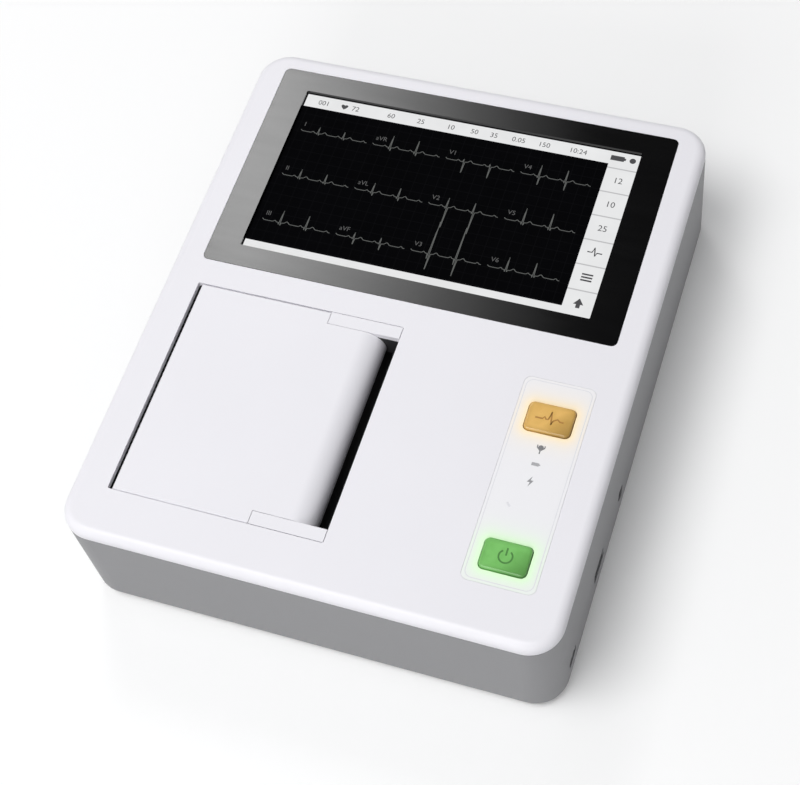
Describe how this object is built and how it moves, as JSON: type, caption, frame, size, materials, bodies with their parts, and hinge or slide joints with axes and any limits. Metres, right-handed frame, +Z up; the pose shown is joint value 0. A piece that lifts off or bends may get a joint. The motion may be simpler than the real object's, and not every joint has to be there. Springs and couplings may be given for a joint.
{
  "type": "ecg machine",
  "caption": "Desktop electrocardiograph with a display, backlit print and power keys, and a hinged recorder door over a chart paper printer.",
  "frame": {"origin": "centre of the footprint, at the underside of the rubber feet", "axes": "+X to the user's right, +Y to the rear, +Z up"},
  "size_m": [0.2072, 0.2516, 0.0632],
  "materials": {
    "case_grey": "fine moulded texture",
    "cover_white": "satin moulded plastic with a faint cool tint",
    "door_white": "satin moulded plastic",
    "recorder_dark": "moulded plastic",
    "frame_black": "high gloss",
    "touch_glass": "anti-glare",
    "overlay": "satin film",
    "key_orange": "translucent, backlit",
    "key_green": "translucent, backlit",
    "clear_plastic": "clear",
    "silicone": "translucent silicone",
    "black_rubber": "matt",
    "steel": "zinc plated",
    "screw_steel": "nickel plated",
    "aluminium": "extruded",
    "ceramic_plate": "glazed alumina",
    "acetal": "natural acetal",
    "brass": "turned",
    "paper": "thermal chart paper",
    "core_card": "wound card",
    "dark_plastic": "moulded",
    "spindle_grey": "moulded",
    "circuit_board": "solder mask",
    "power_board": "bare laminate",
    "copper_winding": "taped winding",
    "battery_blue": "shrink sleeve"
  },
  "bodies": {
    "housing": {"bottom_case": "case_grey", "top_cover": "cover_white", "rubber_feet": "black_rubber", "case_screws": "screw_steel", "standoffs": "brass", "battery_box": "case_grey", "battery_door": "case_grey", "battery_door_screws": "screw_steel", "display_bezel": "frame_black", "touch_panel": "touch_glass", "lcd_module": "steel", "lcd_bracket": "steel", "cover_screws": "screw_steel", "key_overlay": "overlay", "key_domes": "silicone", "key_board": "circuit_board", "light_pipes": "clear_plastic", "paper_tray": "recorder_dark", "recorder_screws": "screw_steel", "ear_caps": "door_white", "hinge_pins": "steel", "idler_post": "steel", "stepper_motor": "steel", "print_frame": "steel", "head_springs": "steel", "tear_bar": "steel", "paper_web": "paper", "paper_sensor": "dark_plastic", "main_board": "circuit_board", "board_shield": "steel", "board_screws": "screw_steel", "power_board": "power_board", "transformer": "copper_winding", "battery_pack": "battery_blue", "speaker": "dark_plastic", "ecg_board": "circuit_board", "patient_socket": "steel", "socket_jackscrews": "screw_steel", "io_board": "circuit_board", "usb_port": "steel", "device_port": "steel", "signal_jack": "dark_plastic", "rear_panel": "case_grey", "mains_inlet": "dark_plastic", "earth_cup": "case_grey", "ground_post": "brass"},
    "door": {"printer_door": "door_white", "platen_bushings": "acetal"},
    "platen": {"platen_shaft": "steel", "platen_rubber": "black_rubber", "platen_gear": "acetal"},
    "idler": {"idler_gear": "acetal"},
    "motor_rotor": {"motor_pinion": "brass"},
    "paper_supply": {"paper_roll": "paper", "roll_core": "core_card", "roll_spindle": "spindle_grey"},
    "print_head": {"head_heatsink": "aluminium", "head_substrate": "ceramic_plate"},
    "print_button": {"print_key": "key_orange"},
    "power_button": {"power_key": "key_green"}
  },
  "joints": [
    {"name": "door_hinge", "type": "hinge", "parent": "housing", "child": "door", "pos_m": [-0.01125, -0.05355, 0.053], "axis": [0, 1, 0], "range_deg": [0, 100]},
    {"name": "platen_spin", "type": "hinge", "parent": "door", "child": "platen", "pos_m": [-0.0814, -0.05355, 0.0505], "axis": [0, 1, 0], "continuous": true},
    {"name": "idler_spin", "type": "hinge", "parent": "housing", "child": "idler", "pos_m": [-0.0814, -0.05355, 0.03538], "axis": [0, 1, 0], "continuous": true},
    {"name": "motor_spin", "type": "hinge", "parent": "housing", "child": "motor_rotor", "pos_m": [-0.0709, -0.05355, 0.02718], "axis": [0, 1, 0], "continuous": true},
    {"name": "roll_spin", "type": "hinge", "parent": "housing", "child": "paper_supply", "pos_m": [-0.03847, -0.05355, 0.0326], "axis": [0, 1, 0], "continuous": true},
    {"name": "head_pivot", "type": "hinge", "parent": "housing", "child": "print_head", "pos_m": [-0.0832, -0.05355, 0.0395], "axis": [0, 1, 0], "range_deg": [-2, 0], "stiffness_Nm_per_rad": 2, "springref_deg": 2.86},
    {"name": "print_press", "type": "slide", "parent": "housing", "child": "print_button", "axis": [0, 0, -1], "range_m": [0, 0.0008], "stiffness_N_per_m": 900, "springref_m": -0.0004},
    {"name": "power_press", "type": "slide", "parent": "housing", "child": "power_button", "axis": [0, 0, -1], "range_m": [0, 0.0008], "stiffness_N_per_m": 900, "springref_m": -0.0004}
  ],
  "couplings": [
    {"joint": "idler_spin", "follows": "platen_spin", "ratio": -0.5625},
    {"joint": "motor_spin", "follows": "platen_spin", "ratio": 1.5},
    {"joint": "roll_spin", "follows": "platen_spin", "ratio": 0.23913}
  ]
}
